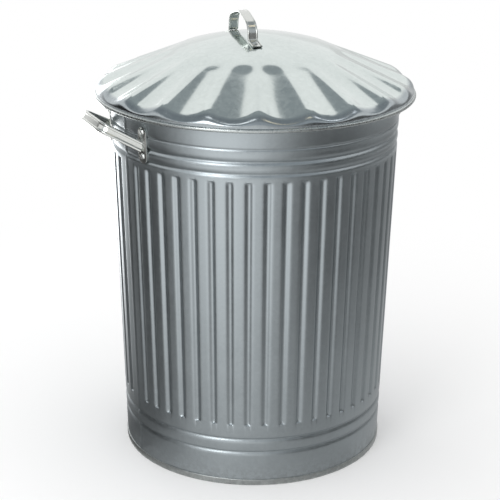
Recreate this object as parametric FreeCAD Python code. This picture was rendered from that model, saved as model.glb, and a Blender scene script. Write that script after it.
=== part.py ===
import FreeCAD, Part
import math
import os

# Galvanised dustbin with a loose fluted lid.
# Millimetres, +Z up, origin at the centre of the footprint. The left handle lies on -X, the
# right one a little off +X.

SHEET = 0.7
FIT_GAP = 0.05
NEST_GAP = 0.25

# Bin wall: a plain cone with every bead and flute pressed inwards from it.
FLOOR_RADIUS = 210.0
WALL_TAPER = 0.031
WALL_BOTTOM = 1.2
WALL_TOP = 598.8
FLUTE_COUNT = 50
FLUTE_DEPTH = 3.3
FLUTE_ROUNDING = 6.5
FLUTE_BOTTOM = 103.0
FLUTE_TOP = 499.5
# Each ring groove as (height, depth, radius of its lips); its bottom has GROOVE_ROUNDING.
GROOVE_ROUNDING = 1.8
RING_GROOVES = ((57.0, 2.6, 10.0), (79.0, 2.6, 10.0), (511.0, 2.7, 10.0), (529.5, 3.2, 10.0),
                (549.0, 1.1, 5.0))
SEAM_AZIMUTH = 185.8
SEAM_WIDTH = 6.8
SEAM_HEIGHT = 0.9
SEAM_BOTTOM = 10.5
SEAM_TOP = 588.0

# Wired edges, base and foot.
BEAD_SIDES = 20
TOP_BEAD_RADIUS = 3.2
PAN_HEIGHT = 17.0
PAN_CORNER = 4.0
HOOP_HEIGHT = 10.0
HOOP_PROUD = 1.5
HOOP_WEB = 7.0

# Lid: a flat-topped dome, a fluted cone and an upright skirt.
LID_FLUTES = 20
LID_RIDGE_AZIMUTH = 246.8
LID_DOME_RADIUS = 115.0
LID_DOME_HEIGHT = 655.0
LID_DOME_SLOPE = 0.30
LID_CONE_SLOPE = 0.40
LID_FLUTE_START = 120.0
LID_FLUTE_DEPTH = 7.5
# How much wider a flute's valley is than its ridge.
LID_VALLEY_WIDENING = 0.3
# The crease lies this far further in along a ridge, and further out along a valley.
LID_CREASE_RADIUS = 236.0
LID_CREASE_WEAVE = 4.0
LID_SHOULDER_BITE = 2.0
LID_SKIRT_RADIUS = 249.2
LID_SKIRT_TOP = 589.0
LID_BEAD_RADIUS = 3.3
LID_BEAD_HEIGHT = 583.3

# Side handles: a rolled-edge strap bent into a loop, with an upright palm at each end.
LEFT_HANDLE_AZIMUTH = 180.0
RIGHT_HANDLE_AZIMUTH = 5.0
HANDLE_HALF_ANGLE = 18.4
HANDLE_ROOT_HEIGHT = 532.0
HANDLE_REACH = 270.5
HANDLE_TIP_HEIGHT = 562.0
HANDLE_TIP_HALF = 42.0
HANDLE_BEND = 20.0
STRAP_WIDTH = 16.0
STRAP_BEAD = 2.6
STRAP_WEB = 0.7
PALM_WIDTH = 19.0
PALM_BOTTOM = 507.0
PALM_TOP = 563.0
PALM_THICKNESS = 1.7
PALM_RIVETS = (518.5, 556.0)

# Lid handle: the same kind of strap with finer beads, arched over the dome.
LID_HANDLE_CENTRE = (-17.5, 8.5)
LID_HANDLE_AZIMUTH = 82.5
LID_STRAP_WIDTH = 16.0
LID_STRAP_BEAD = 1.5
LID_STRAP_WEB = 0.6
LID_HANDLE_HALF_SPAN = 53.0
LID_HANDLE_RISE = 39.0
LID_HANDLE_PEAK = 14.0
LID_FOOT_LENGTH = 24.0
LID_RIVET_FROM_CENTRE = 66.0
LID_HANDLE_BENDS = (4.0, 22.0, 60.0, 22.0, 4.0)

RIVET_SHANK = 2.2
RIVET_HEAD = 4.6
RIVET_HEAD_RISE = 2.4
RIVET_TAIL = 4.0
RIVET_TAIL_RISE = 1.3
RIVET_STANDOFF = 1.2

FLUTE_PITCH = 360.0 / FLUTE_COUNT
LID_PITCH = 360.0 / LID_FLUTES
ORIGIN = FreeCAD.Vector(0, 0, 0)
UP = FreeCAD.Vector(0, 0, 1)

# Grid lines of the lid's pressed sheet, closest together where it bends most.
LID_RADII = (20.0, 60.0, 98.0, 115.0, 123.0, 131.0, 140.0, 153.0, 175.0, 205.0, LID_CREASE_RADIUS)
LID_SHOULDER_STEPS = (0.33, 0.66, 1.0)
LID_SKIRT_STEPS = (0.4, 0.75, 1.0)
LID_COLUMNS = 9


def smooth_step(value):
    """Rise from 0 to 1 with level ends."""
    value = min(1.0, max(0.0, value))
    return value * value * (3.0 - 2.0 * value)


def polar(radius, azimuth, height):
    """A point from its radius, azimuth in degrees and height."""
    angle = math.radians(azimuth)
    return FreeCAD.Vector(radius * math.cos(angle), radius * math.sin(angle), height)


def cone_radius(height):
    """Radius of the bin's outer line, which every crown touches."""
    return FLOOR_RADIUS + WALL_TAPER * height


def wall_place(height, inward):
    """A point in the XZ plane, inward of the bin's outer line by a distance square to it."""
    length = math.hypot(1.0, WALL_TAPER)
    return FreeCAD.Vector(cone_radius(height) - inward / length, 0, height + inward * WALL_TAPER / length)


def groove_arcs(height, depth, lip, behind):
    """A ring groove's three arcs, lip, bottom and lip, on a line lying behind the outer one."""
    bottom = GROOVE_ROUNDING
    apart = math.sqrt(2.0 * depth * (lip + bottom) - depth * depth)
    low_centre = wall_place(height - apart, lip)
    high_centre = wall_place(height + apart, lip)
    centre = wall_place(height, depth - bottom)
    low_meet = low_centre + (centre - low_centre).normalize() * (lip - behind)
    high_meet = high_centre + (centre - high_centre).normalize() * (lip - behind)
    low_end = wall_place(height - apart, behind)
    high_end = wall_place(height + apart, behind)

    def middle_of(hub, start, end, radius):
        return hub + ((start - hub).normalize() + (end - hub).normalize()).normalize() * radius

    return low_end, high_end, [
        Part.Arc(low_end, middle_of(low_centre, low_end, low_meet, lip - behind), low_meet).toShape(),
        Part.Arc(low_meet, wall_place(height, depth + behind), high_meet).toShape(),
        Part.Arc(high_meet, middle_of(high_centre, high_end, high_meet, lip - behind), high_end).toShape()]


def wall_line(bottom, top, behind):
    """Edges up the wall's profile, behind its outer line by a distance; with their two ends."""
    start = wall_place(bottom, behind)
    first = start
    edges = []
    for height, depth, lip in RING_GROOVES:
        if bottom < height < top:
            low_end, high_end, arcs = groove_arcs(height, depth, lip, behind)
            edges.append(Part.LineSegment(start, low_end).toShape())
            edges += arcs
            start = high_end
    end = wall_place(top, behind)
    edges.append(Part.LineSegment(start, end).toShape())
    return first, end, edges


def turned_core(bottom, top, behind):
    """Solid of everything inside the wall's profile, between two heights."""
    first, end, edges = wall_line(bottom, top, behind)
    low_axis = FreeCAD.Vector(0, 0, first.z)
    high_axis = FreeCAD.Vector(0, 0, end.z)
    edges += [Part.LineSegment(end, high_axis).toShape(), Part.LineSegment(high_axis, low_axis).toShape(),
              Part.LineSegment(low_axis, first).toShape()]
    return revolve_profile(edges)


def flute_tools(grown):
    """Round-ended bars that press the flutes into the wall, one per pitch but the seam's."""
    radius = FLUTE_ROUNDING + grown
    reach = math.sqrt(FLUTE_ROUNDING ** 2 - (FLUTE_ROUNDING - FLUTE_DEPTH) ** 2)
    low = wall_place(FLUTE_BOTTOM + reach, FLUTE_DEPTH - FLUTE_ROUNDING)
    high = wall_place(FLUTE_TOP - reach, FLUTE_DEPTH - FLUTE_ROUNDING)
    bar = Part.makeCylinder(radius, (high - low).Length, low, high - low)
    tool = bar.fuse([Part.makeSphere(radius, low), Part.makeSphere(radius, high)])
    return [turned(tool, SEAM_AZIMUTH + index * FLUTE_PITCH) for index in range(1, FLUTE_COUNT)]


def lid_ridge_height(radius):
    """Height of the lid's top along a ridge of its flutes."""
    if radius <= LID_DOME_RADIUS:
        share = (radius / LID_DOME_RADIUS) ** 1.7
        drop = LID_DOME_SLOPE * LID_DOME_RADIUS / 1.7
        return LID_DOME_HEIGHT + drop * (1.0 - share)
    return LID_DOME_HEIGHT - LID_CONE_SLOPE * (radius - LID_DOME_RADIUS)


def lid_top_height(radius, angle):
    """Height of the lid's top, angle degrees round from a ridge."""
    run = radius - LID_FLUTE_START
    span = LID_CREASE_RADIUS + LID_CREASE_WEAVE - LID_FLUTE_START
    grown = smooth_step(run / 24.0) * (0.12 + 0.88 * run / span)
    phase = math.radians(LID_FLUTES * angle)
    wave = 0.5 - 0.5 * math.cos(phase + LID_VALLEY_WIDENING * math.sin(phase))
    return lid_ridge_height(radius) - LID_FLUTE_DEPTH * grown * wave


def lid_crease_radius(angle):
    """Radius where the lid's top turns over into its shoulder, angle degrees round from a ridge."""
    return LID_CREASE_RADIUS - LID_CREASE_WEAVE * math.cos(math.radians(LID_FLUTES * angle))


def between(values, row):
    """Value at a row that may lie between two whole ones."""
    low = min(int(row), len(values) - 2)
    return values[low] + (row - low) * (values[low + 1] - values[low])


def lid_point(angle, row):
    """Point on the lid's outside: rows run from the cap out over the shoulder to the bead."""
    crease_radius = lid_crease_radius(angle)
    if row <= len(LID_RADII) - 1:
        radius = between(LID_RADII, row)
        beyond = max(0.0, radius - LID_FLUTE_START) / (LID_CREASE_RADIUS - LID_FLUTE_START)
        radius += (crease_radius - LID_CREASE_RADIUS) * beyond
        return polar(radius, angle, lid_top_height(radius, angle))
    crease = lid_top_height(crease_radius, angle)
    corner = crease - LID_CONE_SLOPE * (LID_SKIRT_RADIUS - crease_radius) - LID_SHOULDER_BITE
    row -= len(LID_RADII) - 1
    steps = (0.0,) + LID_SHOULDER_STEPS
    if row <= len(steps) - 1:
        share = between(steps, row)
        rest = 1.0 - share
        radius = LID_SKIRT_RADIUS - rest ** 2 * (LID_SKIRT_RADIUS - crease_radius)
        height = rest ** 2 * crease + 2.0 * share * rest * corner + share ** 2 * LID_SKIRT_TOP
        return polar(radius, angle, height)
    share = between((0.0,) + LID_SKIRT_STEPS, row - (len(steps) - 1))
    return polar(LID_SKIRT_RADIUS, angle, LID_SKIRT_TOP + share * (LID_BEAD_HEIGHT - LID_SKIRT_TOP))


def sheet_grids(point_at, angles, rows, outward):
    """Outer and inner grids of a sheet; the inner one lies SHEET behind the outer one."""
    outer = []
    inner = []
    for angle in angles:
        outer_line = []
        inner_line = []
        for row in rows:
            point = point_at(angle, row)
            on_edge = angle in (angles[0], angles[-1])
            around = point_at(angle + 0.01, row) - point_at(angle - 0.01, row)
            if on_edge:
                around = polar(1.0, angle + 90.0, 0.0)
            low = max(rows[0], row - 0.01)
            high = min(rows[-1], row + 0.01)
            along = point_at(angle, high) - point_at(angle, low)
            normal = around.cross(along).normalize() * outward
            back = point - normal * SHEET
            if row in (rows[0], rows[-1]):
                back.z = point.z
            outer_line.append(point)
            inner_line.append(back)
        outer.append(outer_line)
        inner.append(inner_line)
    return outer, inner


def fitted_curve(points, parameters):
    curve = Part.BSplineCurve()
    curve.interpolate(Points=points, Parameters=parameters)
    return curve


def grid_face(grid, angles, stations):
    """A smooth face through a grid whose lines lie at the given angles and stations."""
    lines = [fitted_curve(line, stations) for line in grid]
    pole_rows = zip(*[line.getPoles() for line in lines])
    crossings = [fitted_curve(list(row), angles) for row in pole_rows]
    poles = list(zip(*[crossing.getPoles() for crossing in crossings]))
    surface = Part.BSplineSurface()
    surface.buildFromPolesMultsKnots(
        [list(line) for line in poles], crossings[0].getMultiplicities(), lines[0].getMultiplicities(),
        crossings[0].getKnots(), lines[0].getKnots(), False, False, 3, 3)
    return surface.toShape()


def end_edge(face, height):
    """The face's edge that lies level at a height."""
    for edge in face.Edges:
        box = edge.BoundBox
        if abs(box.ZMin - height) < 1e-3 and abs(box.ZMax - height) < 1e-3:
            return edge
    raise ValueError("no level edge at %.3f" % height)


def cut_edge(outer_face, inner_face, height):
    """The sheet's cut edge at a height: a level strip between its outer and inner faces."""
    return Part.makeRuledSurface(end_edge(outer_face, height), end_edge(inner_face, height))


def crown_disc(faces, height):
    """A level disc inside the edges that the faces have at a height."""
    edges = Part.__sortEdges__([end_edge(face, height) for face in faces])
    return Part.Face(Part.Wire(edges))


def turned(shape, azimuth):
    copy = shape.copy()
    copy.rotate(ORIGIN, UP, azimuth)
    return copy


def solid_from(faces):
    shell = Part.makeShell(faces)
    shell.sewShape(0.02)
    solid = Part.makeSolid(Part.Shell(shell.Faces))
    if solid.Volume < 0:
        solid.reverse()
    return solid


def revolve_profile(edges):
    face = Part.Face(Part.Wire(edges))
    return face.revolve(ORIGIN, UP, 360)


def polygon(points):
    """Closed edges round a polygon of (radius, height) points in the XZ plane."""
    corners = [FreeCAD.Vector(radius, 0, height) for radius, height in points]
    return [Part.LineSegment(a, b).toShape() for a, b in zip(corners, corners[1:] + corners[:1])]


def build_body_shell():
    """The bin's wall: ring grooves turned into it, flutes pressed in, and the folded side seam."""
    outside = turned_core(WALL_BOTTOM, WALL_TOP, 0.0).cut(flute_tools(0.0))
    inside = turned_core(WALL_BOTTOM - 1.0, WALL_TOP + 1.0, SHEET).cut(flute_tools(SHEET))
    wall = outside.cut(inside)
    sides = (LEFT_HANDLE_AZIMUTH, RIGHT_HANDLE_AZIMUTH)
    holes = [hole for side in sides for hole, shape in side_rivets(side)]
    return wall.fuse(seam_ridge()).cut(Part.Compound(holes))


def seam_ridge():
    """The folded seam, a narrow ridge that follows the wall's profile."""
    front_low, front_high, front = wall_line(SEAM_BOTTOM, SEAM_TOP, -SEAM_HEIGHT)
    back_low, back_high, back = wall_line(SEAM_BOTTOM, SEAM_TOP, SHEET / 2.0)
    ends = [Part.LineSegment(front_low, back_low).toShape(),
            Part.LineSegment(front_high, back_high).toShape()]
    face = Part.Face(Part.Wire(Part.__sortEdges__(front + back + ends)))
    width = math.degrees(SEAM_WIDTH / cone_radius(0.0))
    return turned(face.revolve(ORIGIN, UP, width), SEAM_AZIMUTH - width / 2.0)


def bead_ring(sheet_outside, height, radius, upward):
    """A wire ring rolled round the edge of a sheet, slotted for that edge; its section is many-sided."""
    middle = sheet_outside - SHEET / 2.0
    turns = [2.0 * math.pi * index / BEAD_SIDES for index in range(BEAD_SIDES)]
    ring = revolve_profile(polygon([
        (middle + radius * math.cos(turn), height + radius * math.sin(turn)) for turn in turns]))
    half = SHEET / 2.0 + NEST_GAP
    low, high = (height - FIT_GAP, height + 8.0) if upward else (height - 8.0, height + FIT_GAP)
    slot = revolve_profile(polygon([(middle - half, low), (middle + half, low),
                                    (middle + half, high), (middle - half, high)]))
    return ring.cut(slot)


def build_base_pan():
    """A dished base whose flange hangs down inside the wall."""
    low = WALL_BOTTOM
    wall_low = cone_radius(low) - SHEET - NEST_GAP
    wall_high = cone_radius(PAN_HEIGHT) - SHEET - NEST_GAP
    corner = PAN_CORNER
    bend = corner * (1.0 - math.sqrt(0.5))
    outer = [FreeCAD.Vector(wall_high, 0, PAN_HEIGHT - corner),
             FreeCAD.Vector(wall_high - bend, 0, PAN_HEIGHT - bend),
             FreeCAD.Vector(wall_high - corner, 0, PAN_HEIGHT)]
    core = corner - SHEET
    core_bend = core * (1.0 - math.sqrt(0.5))
    inner = [FreeCAD.Vector(wall_high - corner, 0, PAN_HEIGHT - SHEET),
             FreeCAD.Vector(wall_high - SHEET - core_bend, 0, PAN_HEIGHT - SHEET - core_bend),
             FreeCAD.Vector(wall_high - SHEET, 0, PAN_HEIGHT - corner)]
    foot = [FreeCAD.Vector(wall_low - SHEET, 0, low), FreeCAD.Vector(wall_low, 0, low)]
    centre = [FreeCAD.Vector(0, 0, PAN_HEIGHT), FreeCAD.Vector(0, 0, PAN_HEIGHT - SHEET)]
    edges = [Part.LineSegment(foot[1], outer[0]).toShape(),
             Part.Arc(*outer).toShape(),
             Part.LineSegment(outer[2], centre[0]).toShape(),
             Part.LineSegment(centre[0], centre[1]).toShape(),
             Part.LineSegment(centre[1], inner[0]).toShape(),
             Part.Arc(*inner).toShape(),
             Part.LineSegment(inner[2], foot[0]).toShape(),
             Part.LineSegment(foot[0], foot[1]).toShape()]
    return revolve_profile(edges)


def build_foot_hoop():
    """An L-section hoop: its web carries the wall, and its leg shows as the foot band."""
    wall_low = cone_radius(WALL_BOTTOM) + FIT_GAP
    wall_high = cone_radius(HOOP_HEIGHT) + FIT_GAP
    outside = cone_radius(0.0) + HOOP_PROUD
    top_outside = cone_radius(HOOP_HEIGHT) + HOOP_PROUD
    web_top = WALL_BOTTOM - FIT_GAP
    return revolve_profile(polygon([
        (outside - HOOP_WEB, 0.0), (outside - 0.5, 0.0), (outside, 0.5),
        (top_outside, HOOP_HEIGHT - 1.0), (top_outside - 0.7, HOOP_HEIGHT),
        (wall_high, HOOP_HEIGHT), (wall_low, web_top), (outside - HOOP_WEB, web_top)]))


def bent_bar(profile, points, radii):
    """A solid from a profile drawn at the first point, run through points and round each corner."""
    face = Part.Face(profile)
    start = points[0]
    pieces = []
    for before, corner, after, radius in zip(points, points[1:], points[2:], radii):
        back = (before - corner).normalize()
        ahead = (after - corner).normalize()
        half_angle = back.getAngle(ahead) / 2.0
        reach = radius / math.tan(half_angle)
        hub = corner + (back + ahead).normalize() * (radius / math.sin(half_angle))
        first = corner + back * reach
        run = first - start
        pieces.append(face.extrude(run))
        face.translate(run)
        axis = ahead.cross(back)
        turn = 180.0 - math.degrees(2.0 * half_angle)
        pieces.append(face.revolve(hub, axis, turn))
        face.rotate(hub, axis, turn)
        start = corner + ahead * reach
    pieces.append(face.extrude(points[-1] - start))
    return pieces[0].fuse(pieces[1:]).removeSplitter()


def strap_profile(origin, across, through, width, bead, web):
    """Outline of a strap with a rolled bead along each edge."""
    arm = width / 2.0 - bead
    meet = arm - math.sqrt(bead * bead - web * web)

    def at(side, depth):
        return origin + across * side + through * depth

    edges = [Part.LineSegment(at(-meet, web), at(meet, web)).toShape(),
             Part.Arc(at(meet, web), at(width / 2.0, 0.0), at(meet, -web)).toShape(),
             Part.LineSegment(at(meet, -web), at(-meet, -web)).toShape(),
             Part.Arc(at(-meet, -web), at(-width / 2.0, 0.0), at(-meet, web)).toShape()]
    return Part.Wire(edges)


def rivet(seat, outward, grip):
    """A domed rivet: its head sits on seat, and its shank runs grip back to a flat tail."""
    head = Part.makeSphere((RIVET_HEAD ** 2 + RIVET_HEAD_RISE ** 2) / (2.0 * RIVET_HEAD_RISE))
    radius = head.BoundBox.ZMax
    head.translate(FreeCAD.Vector(0, 0, RIVET_HEAD_RISE - radius))
    head = head.common(Part.makeCylinder(RIVET_HEAD + 1.0, RIVET_HEAD_RISE + 1.0))
    shank = Part.makeCylinder(RIVET_SHANK, grip + 1.0, FreeCAD.Vector(0, 0, -grip - 0.5))
    tail = Part.makeCylinder(RIVET_TAIL, RIVET_TAIL_RISE, FreeCAD.Vector(0, 0, -grip - RIVET_TAIL_RISE))
    shape = head.fuse([shank, tail]).removeSplitter()
    hole = Part.makeCylinder(RIVET_SHANK + FIT_GAP, grip + 8.0, FreeCAD.Vector(0, 0, -grip - 4.0))
    turn = FreeCAD.Rotation(FreeCAD.Vector(0, 0, 1), outward)
    for piece in (shape, hole):
        piece.Placement = FreeCAD.Placement(seat, turn)
    return hole, shape


def side_rivets(azimuth):
    """(hole, rivet) pairs of one side handle."""
    pairs = []
    for side in (-1, 1):
        palm = azimuth + side * HANDLE_HALF_ANGLE
        for level in PALM_RIVETS:
            seat = turned(Part.Vertex(wall_place(level, -PALM_THICKNESS - FIT_GAP)), palm).Point
            outward = polar(1.0, palm, -WALL_TAPER).normalize()
            grip = PALM_THICKNESS + SHEET + 2.0 * FIT_GAP + RIVET_STANDOFF
            pairs.append(rivet(seat, outward, grip))
    return pairs


def palm_plate(azimuth):
    """An upright plate with round ends, lying along the wall's slope."""
    half = PALM_WIDTH / 2.0
    middle = (PALM_BOTTOM + PALM_TOP) / 2.0
    half_height = (PALM_TOP - PALM_BOTTOM) / 2.0
    straight = half_height - half
    depth = PALM_THICKNESS + 0.4
    bar = Part.makeBox(depth, PALM_WIDTH, 2.0 * straight, FreeCAD.Vector(0, -half, -straight))
    ends = [Part.makeCylinder(half, depth, FreeCAD.Vector(0, 0, side * straight), FreeCAD.Vector(1, 0, 0))
            for side in (-1, 1)]
    plate = bar.fuse(ends).removeSplitter()
    plate.rotate(FreeCAD.Vector(0, 0, 0), FreeCAD.Vector(0, 1, 0), math.degrees(math.atan(WALL_TAPER)))
    plate.translate(FreeCAD.Vector(cone_radius(middle) - 0.4, 0, middle))
    return turned(plate, azimuth)


def build_side_handle(azimuth):
    """One side handle, trimmed to the wall and drilled for its rivets."""
    root = cone_radius(HANDLE_ROOT_HEIGHT) - 4.0
    radial = root * math.cos(math.radians(HANDLE_HALF_ANGLE))
    half = root * math.sin(math.radians(HANDLE_HALF_ANGLE))
    points = [FreeCAD.Vector(radial, half, HANDLE_ROOT_HEIGHT),
              FreeCAD.Vector(HANDLE_REACH, HANDLE_TIP_HALF, HANDLE_TIP_HEIGHT),
              FreeCAD.Vector(HANDLE_REACH, -HANDLE_TIP_HALF, HANDLE_TIP_HEIGHT),
              FreeCAD.Vector(radial, -half, HANDLE_ROOT_HEIGHT)]
    leg = (points[1] - points[0]).normalize()
    across = leg.cross(FreeCAD.Vector(0, 1, 0)).normalize()
    profile = strap_profile(points[0], across, leg.cross(across), STRAP_WIDTH, STRAP_BEAD, STRAP_WEB)
    loop = bent_bar(profile, points, (HANDLE_BEND, HANDLE_BEND))
    palms = [palm_plate(side * HANDLE_HALF_ANGLE) for side in (-1, 1)]
    handle = loop.fuse(palms)
    inside = revolve_profile(polygon([
        (0.0, 480.0), (cone_radius(480.0) + FIT_GAP, 480.0),
        (cone_radius(600.0) + FIT_GAP, 600.0), (0.0, 600.0)]))
    handle = turned(handle.cut(inside).removeSplitter(), azimuth)
    return handle.cut(Part.Compound([hole for hole, rivet_shape in side_rivets(azimuth)]))


def lid_normal(radius):
    """Upward unit normal of the smooth dome at a radius, as (radial, vertical)."""
    slope = (lid_ridge_height(radius - 0.5) - lid_ridge_height(radius + 0.5)) / 1.0
    length = math.hypot(slope, 1.0)
    return slope / length, 1.0 / length


def handle_frame():
    """Centre, run direction and cross direction of the lid handle."""
    angle = math.radians(LID_HANDLE_AZIMUTH)
    along = FreeCAD.Vector(math.cos(angle), math.sin(angle), 0)
    across = FreeCAD.Vector(-math.sin(angle), math.cos(angle), 0)
    return FreeCAD.Vector(LID_HANDLE_CENTRE[0], LID_HANDLE_CENTRE[1], 0), along, across


def strap_height(point):
    """Height of the strap's middle where its beads just clear the dome below a point."""
    across = handle_frame()[2] * (LID_STRAP_WIDTH / 2.0)
    highest = max(lid_ridge_height((point + across * side).Length) for side in (-1.0, 0.0, 1.0))
    return highest + LID_STRAP_BEAD + 0.3


def build_lid_handle():
    centre, along, across = handle_frame()
    stations = (LID_HANDLE_HALF_SPAN + LID_FOOT_LENGTH, LID_HANDLE_HALF_SPAN)
    flat = [centre + along * (side * reach) for side, reach in
            ((-1, stations[0]), (-1, stations[1]), (1, stations[1]), (1, stations[0]))]
    feet = [FreeCAD.Vector(spot.x, spot.y, strap_height(spot)) for spot in flat]
    base = (feet[1].z + feet[2].z) / 2.0
    crown = FreeCAD.Vector(centre.x, centre.y, base + LID_HANDLE_RISE)
    shoulders = [centre + along * (side * (LID_HANDLE_HALF_SPAN - 3.0)) +
                 FreeCAD.Vector(0, 0, base + LID_HANDLE_RISE - LID_HANDLE_PEAK) for side in (-1, 1)]
    points = [feet[0], feet[1], shoulders[0], crown, shoulders[1], feet[2], feet[3]]
    run = (feet[1] - feet[0]).normalize()
    profile = strap_profile(feet[0], across, run.cross(across), LID_STRAP_WIDTH, LID_STRAP_BEAD,
                            LID_STRAP_WEB)
    handle = bent_bar(profile, points, LID_HANDLE_BENDS)
    return handle.cut(Part.Compound([hole for hole, rivet_shape in lid_rivets()]))


def lid_rivets():
    """(hole, rivet) pairs of the lid handle's feet."""
    centre, along, across = handle_frame()
    pairs = []
    for side in (-1, 1):
        spot = centre + along * (side * LID_RIVET_FROM_CENTRE)
        radial, vertical = lid_normal(spot.Length)
        outward = spot.normalize() * radial + FreeCAD.Vector(0, 0, vertical)
        spot = centre + along * (side * LID_RIVET_FROM_CENTRE)
        seat = FreeCAD.Vector(spot.x, spot.y, strap_height(spot)) + outward * (LID_STRAP_WEB + FIT_GAP)
        grip = seat.z - lid_ridge_height(spot.Length) + SHEET + 0.25
        pairs.append(rivet(seat, outward, grip))
    return pairs


def build_lid_shell():
    """The lid's pressed sheet: dome, flutes, shoulder and skirt, with a flat crown."""
    count = len(LID_RADII) + len(LID_SHOULDER_STEPS) + len(LID_SKIRT_STEPS)
    rows = [float(row) for row in range(count)]
    half = LID_PITCH / 2.0
    angles = [-half + LID_PITCH * index / (LID_COLUMNS - 1) for index in range(LID_COLUMNS)]
    grids = sheet_grids(lid_point, angles, rows, -1.0)
    stations = [0.0]
    for before, after in zip(grids[0][0], grids[0][0][1:]):
        stations.append(stations[-1] + (after - before).Length)
    faces = [grid_face(grid, angles, stations) for grid in grids]
    rims = [faces[0].BoundBox.ZMax, faces[1].BoundBox.ZMax]
    outer = []
    inner = []
    for index in range(LID_FLUTES):
        azimuth = LID_RIDGE_AZIMUTH + index * LID_PITCH
        outer.append(turned(faces[0], azimuth))
        inner.append(turned(faces[1], azimuth))
    caps = [crown_disc(outer, rims[0]), crown_disc(inner, rims[1])]
    caps += [cut_edge(outside, inside, LID_BEAD_HEIGHT) for outside, inside in zip(outer, inner)]
    lid = solid_from(outer + inner + caps)
    return lid.cut(Part.Compound([hole for hole, rivet_shape in lid_rivets()]))


def rivets_only(pairs):
    """The rivets of (hole, rivet) pairs."""
    return Part.Compound([rivet_shape for hole, rivet_shape in pairs])


def build_nodes():
    """Every sub-part by its node name."""
    return {
        "body_shell": build_body_shell(),
        "body_top_bead": bead_ring(cone_radius(WALL_TOP), WALL_TOP, TOP_BEAD_RADIUS, False),
        "base_pan": build_base_pan(),
        "foot_hoop": build_foot_hoop(),
        "left_handle": build_side_handle(LEFT_HANDLE_AZIMUTH),
        "right_handle": build_side_handle(RIGHT_HANDLE_AZIMUTH),
        "left_handle_rivets": rivets_only(side_rivets(LEFT_HANDLE_AZIMUTH)),
        "right_handle_rivets": rivets_only(side_rivets(RIGHT_HANDLE_AZIMUTH)),
        "lid_shell": build_lid_shell(),
        "lid_rim_bead": bead_ring(LID_SKIRT_RADIUS, LID_BEAD_HEIGHT, LID_BEAD_RADIUS, True),
        "lid_handle": build_lid_handle(),
        "lid_handle_rivets": rivets_only(lid_rivets()),
    }


def main():
    os.makedirs("parts", exist_ok=True)
    for name, shape in build_nodes().items():
        shape.exportStep("parts/%s.step" % name)
        box = shape.BoundBox
        print("%-20s solids %d faces %4d valid %s volume %.0f z %.1f..%.1f" % (
            name, len(shape.Solids), len(shape.Faces), shape.isValid(), shape.Volume,
            box.ZMin, box.ZMax))


main()
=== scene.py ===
"""Looks of a galvanised dustbin with a loose fluted lid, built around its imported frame."""
import logging
import math
from contextlib import contextmanager
from dataclasses import dataclass
from enum import Enum
from typing import Any, Callable, Iterator, Sequence

import bmesh
import bpy
from mathutils import Matrix, Vector


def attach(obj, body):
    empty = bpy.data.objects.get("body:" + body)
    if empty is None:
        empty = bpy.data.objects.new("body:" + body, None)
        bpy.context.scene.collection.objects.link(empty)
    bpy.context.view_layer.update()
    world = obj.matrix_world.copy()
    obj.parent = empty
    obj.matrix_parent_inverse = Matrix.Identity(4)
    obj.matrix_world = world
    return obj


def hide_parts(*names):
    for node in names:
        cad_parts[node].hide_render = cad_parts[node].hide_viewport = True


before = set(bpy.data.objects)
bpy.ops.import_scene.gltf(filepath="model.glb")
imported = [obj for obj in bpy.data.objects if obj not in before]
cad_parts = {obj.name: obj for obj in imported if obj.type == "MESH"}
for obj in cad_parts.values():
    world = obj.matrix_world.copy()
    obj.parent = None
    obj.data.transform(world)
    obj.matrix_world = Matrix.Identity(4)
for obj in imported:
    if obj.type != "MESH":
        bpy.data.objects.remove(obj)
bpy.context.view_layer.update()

LOG = logging.getLogger("dustbin")

# Meshes are drawn in millimetres and scaled to metres when they are finished.
MILLIMETRE = 0.001
TINY = 1e-4
SHEET = 0.7
FIT = 0.05
UP = Vector((0.0, 0.0, 1.0))

Profile = Sequence[tuple[float, float]]
Stops = Sequence[tuple[float, float]]
Colour = tuple[float, float, float]


class Body(Enum):
    """The two bodies that pieces ride on."""

    BIN = "bin"
    LID = "lid"


class Slot(Enum):
    """The record's material slots."""

    SHEET = "galvanised_sheet"
    LID_SHEET = "galvanised_lid_sheet"
    BEAD = "galvanised_bead"
    STRAP = "galvanised_strap"
    RIVET = "zinc_rivet"


class Start(Enum):
    """The primitives that pieces are started from."""

    CIRCLE = "primitive_circle_add"
    PLANE = "primitive_plane_add"
    CYLINDER = "primitive_cylinder_add"


# ---------------------------------------------------------------------------------------------
# Modelling by hand: primitives, picked vertices and edit-mode operators
# ---------------------------------------------------------------------------------------------


def smooth_step(value: float) -> float:
    """Rise from 0 to 1 with level ends."""
    value = min(1.0, max(0.0, value))
    return value * value * (3.0 - 2.0 * value)


def azimuth(point: Vector) -> float:
    """Azimuth of a point about the upright axis, in degrees."""
    return math.degrees(math.atan2(point.y, point.x))


def polar(radius: float, degrees: float, height: float = 0.0) -> Vector:
    """A point from its radius, azimuth and height."""
    angle = math.radians(degrees)
    return Vector((radius * math.cos(angle), radius * math.sin(angle), height))


def turn_about_up(degrees: float) -> Matrix:
    """The matrix that turns things about the upright axis."""
    return Matrix.Rotation(math.radians(degrees), 4, "Z")


def make_active(*pieces: bpy.types.Object) -> None:
    """Select pieces and nothing else, the first of them as the active one."""
    bpy.ops.object.select_all(action="DESELECT")
    for piece in pieces:
        piece.select_set(True)
    bpy.context.view_layer.objects.active = pieces[0]


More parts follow.
